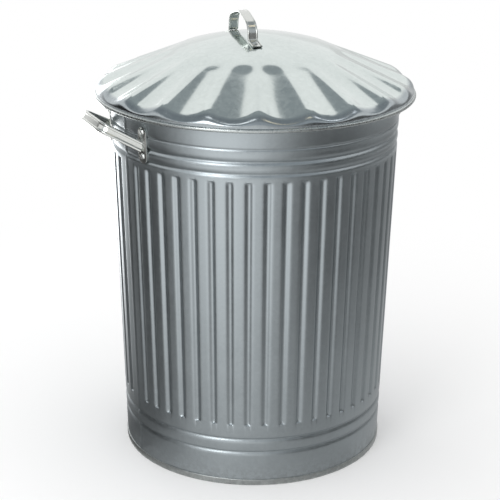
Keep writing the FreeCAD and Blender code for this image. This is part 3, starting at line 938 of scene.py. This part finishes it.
@dataclass
class SideHandle:
    """A loop of rolled strap between two upright palms, riveted to the wall."""

    wall: BinWall
    side: str
    azimuth: float
    half_angle: float = 18.4
    root_height: float = 532.0
    reach: float = 270.5
    tip_height: float = 562.0
    tip_half: float = 42.0
    bend_radius: float = 20.0
    palm_width: float = 19.0
    palm_bottom: float = 507.0
    palm_top: float = 563.0
    palm_thickness: float = 1.7
    palm_sides: int = 32
    palm_bevel: float = 0.45
    strap_proud: float = 0.8
    grip_slack: float = 1.3
    rivet_heights: tuple[float, float] = (518.5, 556.0)

    def build_palm(self, turn: float) -> bpy.types.Object:
        """A round-ended plate that lies along the wall's slope."""
        half = self.palm_width / 2.0
        straight = (self.palm_top - self.palm_bottom) / 2.0 - half
        middle = (self.palm_bottom + self.palm_top) / 2.0
        plate = start_piece("palm", Start.CIRCLE, vertices=self.palm_sides, radius=half, fill_type="NGON",
                            rotation=(math.pi / 2.0, 0, math.pi / 2.0))
        with bench(plate) as work:
            for way in (-1.0, 1.0):
                work.pick(lambda co: co.z * way > TINY and abs(co.z) < half * 1.01)
                work.push(0.0, 0.0, way * straight)
            work.pick_all()
            work.extrude(Vector((self.palm_thickness, 0.0, 0.0)))
            work.close_seams()
        with_modifier(plate, "BEVEL", width=self.palm_bevel, segments=2, limit_method="ANGLE",
                      angle_limit=math.radians(50))
        slope = Matrix.Rotation(math.atan(self.wall.taper), 4, "Y")
        out = Matrix.Translation((self.wall.cone_radius(middle) + FIT, 0.0, middle))
        plate.data.transform(turn_about_up(turn) @ out @ slope)
        return plate

    def build(self) -> list[bpy.types.Object]:
        """Bend the loop, add its palms and set its rivets.

        Returns:
            The handle and its rivets.
        """
        root = self.wall.cone_radius(self.root_height) + self.strap_proud
        radial = root * math.cos(math.radians(self.half_angle))
        half = root * math.sin(math.radians(self.half_angle))
        points = [Vector((radial, half, self.root_height)),
                  Vector((self.reach, self.tip_half, self.tip_height)),
                  Vector((self.reach, -self.tip_half, self.tip_height)),
                  Vector((radial, -half, self.root_height))]
        leg = (points[1] - points[0]).normalized()
        across = leg.cross(Vector((0.0, 1.0, 0.0))).normalized()
        strap = RolledStrap(width=16.0, bead=2.6, web=0.7)
        loop = strap.bend(self.side + "_handle_strap", points, (self.bend_radius,) * 2, across)
        handle = joined([loop] + [self.build_palm(way * self.half_angle) for way in (-1, 1)])
        rivets = []
        for way in (-1, 1):
            for level in self.rivet_heights:
                turn = way * self.half_angle
                seat = polar(self.wall.cone_radius(level) + self.palm_thickness + FIT, turn, level)
                outward = polar(1.0, turn, -self.wall.taper).normalized()
                rivets.append(Rivet().build(self.side + "_handle_studs", seat, outward,
                                            self.palm_thickness + SHEET + self.grip_slack))
        studs = joined(rivets)
        for piece in (handle, studs):
            piece.data.transform(turn_about_up(self.azimuth))
        return [handle, studs]


# ---------------------------------------------------------------------------------------------
# The lid
# ---------------------------------------------------------------------------------------------


@dataclass
class Lid:
    """The pressed lid: dome, fluted cone, shoulder and skirt, with its strap handle."""

    flutes: int = 20
    ridge_azimuth: float = 246.8
    dome_radius: float = 115.0
    dome_height: float = 655.0
    dome_slope: float = 0.30
    dome_power: float = 1.7
    cone_slope: float = 0.40
    flute_start: float = 120.0
    flute_onset: float = 24.0
    flute_least: float = 0.12
    flute_depth: float = 7.5
    valley_widening: float = 0.3
    crease_radius: float = 236.0
    crease_weave: float = 4.0
    shoulder_bite: float = 2.0
    skirt_radius: float = 249.2
    skirt_top: float = 589.0
    bead_radius: float = 3.3
    bead_height: float = 583.3
    lap_azimuth: float = 100.0
    across: int = 20
    handle_centre: tuple[float, float] = (-17.5, 8.5)
    handle_azimuth: float = 82.5
    half_span: float = 53.0
    rise: float = 39.0
    peak: float = 14.0
    foot: float = 24.0
    rivet_from_centre: float = 66.0
    shoulder_inset: float = 3.0
    strap_gap: float = 0.3
    tail_gap: float = 0.25
    skirt_rows: Sequence[float] = (0.0, 0.35, 0.7)
    shoulder_rows: Sequence[float] = (1.0, 0.88, 0.76, 0.64, 0.52, 0.4, 0.28, 0.16, 0.07, 0.0)
    top_rows: Sequence[float] = (
        233.5, 230.0, 225.0, 218.0, 209.0, 199.0, 188.0, 176.0, 165.0, 156.0, 150.0, 145.0, 141.0, 137.0,
        133.0, 129.0, 125.5, 122.5, 119.0, 115.0, 108.0, 98.0, 84.0, 68.0, 52.0, 36.0, 20.0, 8.0, 1.5)
    bends: tuple[float, ...] = (4.0, 22.0, 60.0, 22.0, 4.0)

    def ridge_height(self, radius: float) -> float:
        """Height of the lid's top along a ridge."""
        if radius <= self.dome_radius:
            share = (radius / self.dome_radius) ** self.dome_power
            return self.dome_height + self.dome_slope * self.dome_radius / self.dome_power * (1.0 - share)
        return self.dome_height - self.cone_slope * (radius - self.dome_radius)

    def top_point(self, radius: float, angle: float) -> Vector:
        """Point on the lid's top, angle degrees round from a ridge."""
        run = radius - self.flute_start
        span = self.crease_radius + self.crease_weave - self.flute_start
        grown = smooth_step(run / self.flute_onset) * (
            self.flute_least + (1.0 - self.flute_least) * run / span)
        phase = math.radians(self.flutes * angle)
        wave = 0.5 - 0.5 * math.cos(phase + self.valley_widening * math.sin(phase))
        return polar(radius, angle, self.ridge_height(radius) - self.flute_depth * grown * wave)

    def point(self, row: int, angle: float) -> Vector:
        """Point on the lid's outside.

        Args:
            row: Counts the skirt's rows up from the bead, then the shoulder's, then the top's.
            angle: Degrees round from a ridge.

        Returns:
            The point.
        """
        crease_radius = self.crease_radius - self.crease_weave * math.cos(math.radians(self.flutes * angle))
        if row < len(self.skirt_rows):
            return polar(self.skirt_radius, angle,
                         self.bead_height + self.skirt_rows[row] * (self.skirt_top - self.bead_height))
        row -= len(self.skirt_rows)
        if row < len(self.shoulder_rows):
            share = self.shoulder_rows[row]
            rest = 1.0 - share
            crease = self.top_point(crease_radius, angle).z
            corner = crease - self.cone_slope * (self.skirt_radius - crease_radius) - self.shoulder_bite
            return polar(self.skirt_radius - rest ** 2 * (self.skirt_radius - crease_radius), angle,
                         rest ** 2 * crease + 2.0 * share * rest * corner + share ** 2 * self.skirt_top)
        radius = self.top_rows[row - len(self.shoulder_rows)]
        beyond = max(0.0, radius - self.flute_start) / (self.crease_radius - self.flute_start)
        return self.top_point(radius + (crease_radius - self.crease_radius) * beyond, angle)

    def build_shell(self) -> bpy.types.Object:
        """Model one flute of the lid from valley to valley, copy it round and give it its sheet."""
        around = self.flutes * self.across
        step = 360.0 / around
        half = 180.0 / self.flutes
        rows = range(len(self.skirt_rows) + len(self.shoulder_rows) + len(self.top_rows))
        ridge = [self.point(row, 0.0) for row in rows]
        piece = start_piece("lid_pressing", Start.CIRCLE, vertices=around, radius=ridge[0].x,
                            location=(0, 0, ridge[0].z))
        with bench(piece) as work:
            work.pick(lambda co: abs(azimuth(co)) > half + step / 2.0)
            bpy.ops.mesh.delete(type="VERT")
            work.pick_all()
            work.raise_edges([(spot.x, spot.z) for spot in ridge])
            for row in rows:
                for column in range(1, self.across // 2 + 1):
                    spot = self.point(row, column * step)
                    share = math.hypot(spot.x, spot.y) / ridge[row].x
                    if abs(share - 1.0) < 1e-7 and abs(spot.z - ridge[row].z) < TINY:
                        continue
                    work.pick(lambda co: abs(co.z - ridge[row].z) < 1e-3 and
                              abs(math.hypot(co.x, co.y) - ridge[row].x) < 1e-2 and
                              abs(abs(azimuth(co)) - column * step) < step / 50.0)
                    work.scale(share, share, 1.0)
                    work.push(0.0, 0.0, spot.z - ridge[row].z)
            work.pick_all()
            work.spin(360.0 - 360.0 / self.flutes, self.flutes - 1, Vector(), UP, copies=True)
            work.close_seams()
            work.pick(lambda co: math.hypot(co.x, co.y) < self.top_rows[-1] * 1.05)
            bpy.ops.mesh.edge_face_add()
        piece.data.transform(turn_about_up(self.ridge_azimuth))
        waver(piece, size=70.0, strength=0.7)
        give_thickness(piece)
        return piece

    def handle_frame(self) -> tuple[Vector, Vector, Vector]:
        """Centre, run direction and cross direction of the handle."""
        return (Vector((*self.handle_centre, 0.0)), polar(1.0, self.handle_azimuth),
                polar(1.0, self.handle_azimuth + 90.0))

    def strap_height(self, point: Vector, strap: RolledStrap) -> float:
        """Height of the strap's middle where its beads just clear the dome below a point."""
        across = self.handle_frame()[2] * (strap.width / 2.0)
        reaches = [(Vector((point.x, point.y, 0.0)) + across * side).length for side in (-1.0, 0.0, 1.0)]
        return max(self.ridge_height(reach) for reach in reaches) + strap.bead + self.strap_gap

    def build_handle(self) -> list[bpy.types.Object]:
        """Bend the handle's strap over the dome and rivet its feet.

        Returns:
            The handle and its rivets.
        """
        strap = RolledStrap(width=16.0, bead=1.5, web=0.6)
        centre, along, across = self.handle_frame()
        ends = (self.half_span + self.foot, self.half_span)
        feet = [centre + along * reach for reach in (-ends[0], -ends[1], ends[1], ends[0])]
        for spot in feet:
            spot.z = self.strap_height(spot, strap)
        base = (feet[1].z + feet[2].z) / 2.0
        crown = centre + UP * (base + self.rise)
        inset = self.half_span - self.shoulder_inset
        shoulders = [centre + along * (side * inset) + UP * (base + self.rise - self.peak)
                     for side in (-1, 1)]
        points = [feet[0], feet[1], shoulders[0], crown, shoulders[1], feet[2], feet[3]]
        handle = strap.bend("lid_grip", points, self.bends, across, 10)
        rivets = []
        for side in (-1, 1):
            spot = centre + along * (side * self.rivet_from_centre)
            reach = spot.length
            slope = self.ridge_height(reach - 0.5) - self.ridge_height(reach + 0.5)
            outward = (spot.normalized() * slope + UP).normalized()
            seat = Vector((spot.x, spot.y, self.strap_height(spot, strap))) + outward * (strap.web + FIT)
            rivets.append(Rivet().build("lid_grip_studs", seat, outward,
                                        seat.z - self.ridge_height(reach) + SHEET + self.tail_gap))
        return [handle, joined(rivets)]


# ---------------------------------------------------------------------------------------------
# The studio
# ---------------------------------------------------------------------------------------------


@dataclass
class Camera:
    """The photograph's own viewpoint."""

    azimuth: float = 245.4
    distance: float = 2.3132
    height: float = 1.1370
    lens: float = 108.34
    pitch: float = 19.524
    yaw: float = -0.153
    roll: float = 0.395

    def build(self) -> None:
        """Place the camera and make it the scene's own."""
        pitch, yaw, roll = (math.radians(value) for value in (self.pitch, self.yaw, self.roll))
        ahead = Vector((math.sin(yaw) * math.cos(pitch), math.cos(yaw) * math.cos(pitch), -math.sin(pitch)))
        level = ahead.cross(UP).normalized()
        lift = level.cross(ahead)
        right = level * math.cos(roll) + lift * math.sin(roll)
        over = lift * math.cos(roll) - level * math.sin(roll)
        stand = Matrix((right, over, -ahead)).transposed().to_4x4()
        stand.translation = (0.0, -self.distance, self.height)
        data = bpy.data.cameras.new("camera")
        data.lens = self.lens
        data.clip_end = 60.0
        camera = bpy.data.objects.new("camera", data)
        camera.matrix_world = turn_about_up(self.azimuth - 270.0) @ stand
        bpy.context.scene.collection.objects.link(camera)
        bpy.context.scene.camera = camera


@dataclass
class Lamp:
    """A soft box, placed by its angle to the right of the camera."""

    name: str
    around: float
    distance: float
    height: float
    width: float
    tall: float
    watts: float
    aim: float = 0.35
    tint: Colour = (1.0, 1.0, 1.0)

    def build(self, camera: Camera) -> None:
        """Hang the lamp, facing the bin."""
        data = bpy.data.lights.new(self.name, "AREA")
        data.shape = "RECTANGLE"
        data.size = self.width
        data.size_y = self.tall
        data.energy = self.watts
        data.color = self.tint
        lamp = bpy.data.objects.new(self.name, data)
        lamp.location = polar(self.distance, camera.azimuth + self.around, self.height)
        ahead = Vector((0.0, 0.0, self.aim)) - lamp.location
        lamp.rotation_euler = ahead.to_track_quat("-Z", "Y").to_euler()
        lamp.visible_camera = False
        bpy.context.scene.collection.objects.link(lamp)


@dataclass(frozen=True)
class Panel:
    """A flat reflection card, level or upright, placed with the camera on -Y."""

    name: str
    centre: tuple[float, float, float]
    size: tuple[float, float]
    glow: Colour
    upright: bool = False


ROOF_GLOW = (0.31, 0.34, 0.36)
PANELS = (
    Panel("roof_card", (0.0, -2.08, 6.0), (14.0, 10.0), ROOF_GLOW),
    Panel("left_wing", (-4.9, 3.57, 6.0), (4.4, 1.3), ROOF_GLOW),
    Panel("right_wing", (4.9, 3.57, 6.0), (4.4, 1.3), ROOF_GLOW),
    Panel("left_pane", (-1.5, -1.60, 5.9), (1.3, 0.7), (3.4, 3.4, 3.4)),
    Panel("right_pane", (1.9, -1.45, 5.9), (1.1, 0.6), (2.4, 2.05, 1.5)),
    Panel("far_pane", (4.0, 0.00, 5.9), (1.4, 0.8), (2.6, 2.6, 2.7)),
    Panel("near_card", (0.0, -3.0, 2.9), (10.0, 3.0), (0.50, 0.53, 0.56), upright=True))

LAMPS = (
    Lamp("window_left", around=-30.0, distance=2.4, height=1.5, width=1.0, tall=1.0, watts=14.0),
    Lamp("window_behind", around=-150.0, distance=2.2, height=0.7, width=0.5, tall=1.0, watts=3.0))

# Levels of the ground and the horizon by the bearing, in degrees to the right of the camera.
FAR_STOPS = (
    (-179.0, 4.0), (-151.0, 7.0), (-140.0, 4.4), (-131.0, 2.0), (-120.0, 0.20), (-112.0, 0.02),
    (-93.0, 0.02), (-75.0, 0.06), (-56.0, 0.42), (-38.0, 1.30), (-19.0, 1.45), (0.0, 1.10),
    (19.0, 0.52), (38.0, 0.12), (56.0, 0.06), (75.0, 0.12), (112.0, 0.28), (135.0, 0.30),
    (155.0, 0.7), (179.0, 2.0))
# At the bin's foot the ground is painted darker in front: a painted shadow of the bin in the reflected
# ground.
NEAR_STOPS = (
    (-179.0, 1.2), (-135.0, 1.1), (-117.0, 0.60), (-100.0, 0.26), (-83.0, 0.14), (-66.0, 0.18),
    (-50.0, 0.34), (-33.0, 0.56), (-16.0, 0.66), (0.0, 0.62), (16.0, 0.50), (33.0, 0.42),
    (50.0, 0.42), (66.0, 0.50), (83.0, 0.50), (117.0, 0.50), (135.0, 0.7), (179.0, 1.0))


@dataclass
class Studio:
    """A plain pale floor, soft light, and reflection cards that only the metal's gloss sees."""

    camera: Camera
    floor_size: float = 40.0
    floor_tone: Colour = (0.96, 0.96, 0.96)
    floor_fade: tuple[float, float] = (0.30, 1.2)
    world_level: float = 1.0
    card_sides: int = 96
    ground_inside: float = 0.213
    ground_spread: float = 14.0
    ground_lift: float = 0.0003
    near_fade: tuple[float, float] = (0.25, 1.5)
    rim_fade: tuple[float, float] = (2.1, 2.6)
    horizon_radius: float = 2.98
    horizon_height: float = 1.4
    horizon_most: float = 0.9

    def build_floor(self) -> None:
        """Lay the floor, which is plain white to the camera away from the bin's shadow."""
        floor = start_piece("floor", Start.PLANE, size=self.floor_size)
        graph = Graph("floor_paint")
        paint = graph.add("ShaderNodeBsdfDiffuse", {}, {"Color": (*self.floor_tone, 1.0)})
        white = graph.add("ShaderNodeEmission", {}, {"Strength": 1.0})
        path = graph.add("ShaderNodeLightPath")
        seen = sum((Signal(graph, path.outputs[ray]) for ray in ("Is Glossy Ray", "Is Transmission Ray")),
                   Signal(graph, path.outputs["Is Camera Ray"]))
        share = seen.clamped() * graph.length(graph.place()).ramp(*self.floor_fade)
        shader = graph.add("ShaderNodeMixShader", {}, {
            0: share, 1: paint.outputs["BSDF"], 2: white.outputs["Emission"]})
        floor.data.materials.append(graph.surfaced(shader.outputs["Shader"]))

    def card(self, piece: bpy.types.Object, finish: bpy.types.Material) -> None:
        """Let only glossy rays see a card."""
        piece.data.materials.append(finish)
        for kind in ("camera", "diffuse", "transmission", "volume_scatter", "shadow"):
            setattr(piece, "visible_" + kind, False)

    def bearing_level(self, graph: Graph, stops: Stops) -> Signal:
        """A level that changes with the bearing round the bin.

        Args:
            graph: The material's graph.
            stops: (angle to the right of the camera, level) pairs, from -180 to 180.

        Returns:
            The level.
        """
        turn = graph.add("ShaderNodeMapping", {}, {
            "Vector": graph.place(), "Rotation": (0.0, 0.0, math.radians(-self.camera.azimuth))})
        parts = graph.add("ShaderNodeSeparateXYZ", {}, {"Vector": turn.outputs["Vector"]})
        bearing = graph.add("ShaderNodeMath", {"operation": "ARCTAN2"}, {
            0: parts.outputs["Y"], 1: parts.outputs["X"]})
        share = Signal(graph, bearing.outputs[0]) * (0.5 / math.pi) + 0.5
        ramp = graph.add("ShaderNodeValToRGB", {}, {"Fac": share})
        ramp.color_ramp.interpolation = "EASE"
        marks = ramp.color_ramp.elements
        for place, level in stops:
            mark = marks.new(place / 360.0 + 0.5)
            mark.color = (level, level, level, 1.0)
        marks.remove(marks[0])
        marks.remove(marks[len(marks) - 1])
        return Signal(graph, ramp.outputs["Color"])

    def bearing_glow(self, name: str, far: Stops, near: Stops = ()) -> bpy.types.Material:
        """A glow that changes with the bearing round the bin and with the distance from it.

        Args:
            name: The material's name.
            far: The stops well away from the bin.
            near: The stops at its foot, if these differ; in front of the bin they paint its own shadow into
                the reflected ground.

        Returns:
            The material.
        """
        graph = Graph(name)
        level = self.bearing_level(graph, far)
        if near:
            flat = graph.length(graph.place())
            away = flat.ramp(*self.near_fade)
            level = level * away + self.bearing_level(graph, near) * (1.0 - away)
            rim = flat.ramp(*self.rim_fade)
            level = level * (1.0 - rim) + rim
        glow = graph.add("ShaderNodeEmission", {}, {"Strength": level})
        return graph.surfaced(glow.outputs["Emission"])

    def build_cards(self) -> None:
        """Lay the ground card, stand the horizon card round it and hang the flat panels."""
        ground = start_piece("ground_card", Start.CIRCLE, vertices=self.card_sides,
                             radius=self.ground_inside)
        with bench(ground) as work:
            work.pick_all()
            bpy.ops.mesh.extrude_region_move()
            work.scale(self.ground_spread, self.ground_spread, 1.0)
            work.pick_all()
            work.push(0.0, 0.0, self.ground_lift)
        self.card(ground, self.bearing_glow("ground_glow", FAR_STOPS, NEAR_STOPS))
        ring = start_piece("horizon_card", Start.CYLINDER, vertices=self.card_sides,
                           radius=self.horizon_radius, depth=self.horizon_height, end_fill_type="NOTHING",
                           location=(0, 0, self.horizon_height / 2.0))
        capped = [(bearing, min(self.horizon_most, level)) for bearing, level in FAR_STOPS]
        self.card(ring, self.bearing_glow("horizon_glow", capped))
        for panel in PANELS:
            self.hang(panel)

    def hang(self, panel: Panel) -> None:
        """Make a flat card, put it in its place and light it.

        Args:
            panel: What the card is like.
        """
        width, depth = panel.size
        if panel.upright:
            piece = start_piece(panel.name, Start.PLANE, size=1.0, rotation=(math.pi / 2.0, 0, 0))
            size = (width, 1.0, depth)
        else:
            piece = start_piece(panel.name, Start.PLANE, size=1.0)
            size = (width, depth, 1.0)
        with bench(piece) as work:
            work.pick_all()
            work.scale(*size)
            work.push(*panel.centre)
        piece.data.transform(turn_about_up(self.camera.azimuth - 270.0))
        graph = Graph(panel.name + "_glow")
        shader = graph.add("ShaderNodeEmission", {}, {"Color": (*panel.glow, 1.0)})
        self.card(piece, graph.surfaced(shader.outputs["Emission"]))

    def build_light(self) -> None:
        """Light the room evenly and hang the soft boxes."""
        world = bpy.data.worlds.new("room")
        bpy.context.scene.world = world
        world.use_nodes = True
        ground = world.node_tree.nodes["Background"]
        ground.inputs["Color"].default_value = (1.0, 1.0, 1.0, 1.0)
        ground.inputs["Strength"].default_value = self.world_level
        for lamp in LAMPS:
            lamp.build(self.camera)

    def build(self) -> None:
        """Set up the whole studio."""
        self.camera.build()
        self.build_floor()
        self.build_cards()
        self.build_light()
        bpy.context.scene.view_settings.view_transform = "Standard"


# Each side handle's name and azimuth.
SIDE_HANDLES = (("left", 180.0), ("right", 5.0))


def main() -> None:
    """Build every piece, then the studio."""
    logging.basicConfig(level=logging.INFO, format="%(message)s")
    body_finish = BODY_ZINC.material()
    bead_finish = BEAD_ZINC.material()
    # The strap's colour carries a painted warm reflection as well as its zinc.
    strap_zinc_and_sheen = STRAP_ZINC_WARM_SHEEN.material()
    rivet_finish = RIVET_ZINC.material()
    wall = BinWall()
    finished(wall.build(), Body.BIN, body_finish, ["body_shell"])
    top = WiredEdge("bin_rolled_rim", wall.cone_radius(wall.top) - SHEET / 2.0, wall.top, wall.rim_wire,
                    wall.seam_azimuth)
    finished(top.build(), Body.BIN, bead_finish, ["body_top_bead"])
    base = BinBase(wall)
    finished(base.build_pan(), Body.BIN, BASE_ZINC.material(), ["base_pan"])
    finished(base.build_hoop(), Body.BIN, HOOP_ZINC.material(), ["foot_hoop"])
    for side, turn in SIDE_HANDLES:
        handle, studs = SideHandle(wall, side, turn).build()
        finished(handle, Body.BIN, strap_zinc_and_sheen, [side + "_handle"])
        finished(studs, Body.BIN, rivet_finish, [side + "_handle_rivets"])
    lid = Lid()
    finished(lid.build_shell(), Body.LID, LID_ZINC.material(), ["lid_shell"],
             sharp=60.0)
    rim = WiredEdge("lid_rolled_rim", lid.skirt_radius - SHEET / 2.0, lid.bead_height, lid.bead_radius,
                    lid.lap_azimuth)
    finished(rim.build(), Body.LID, bead_finish, ["lid_rim_bead"])
    grip, studs = lid.build_handle()
    finished(grip, Body.LID, strap_zinc_and_sheen, ["lid_handle"])
    finished(studs, Body.LID, rivet_finish, ["lid_handle_rivets"])
    Studio(Camera()).build()


if __name__ == "__main__":
    main()
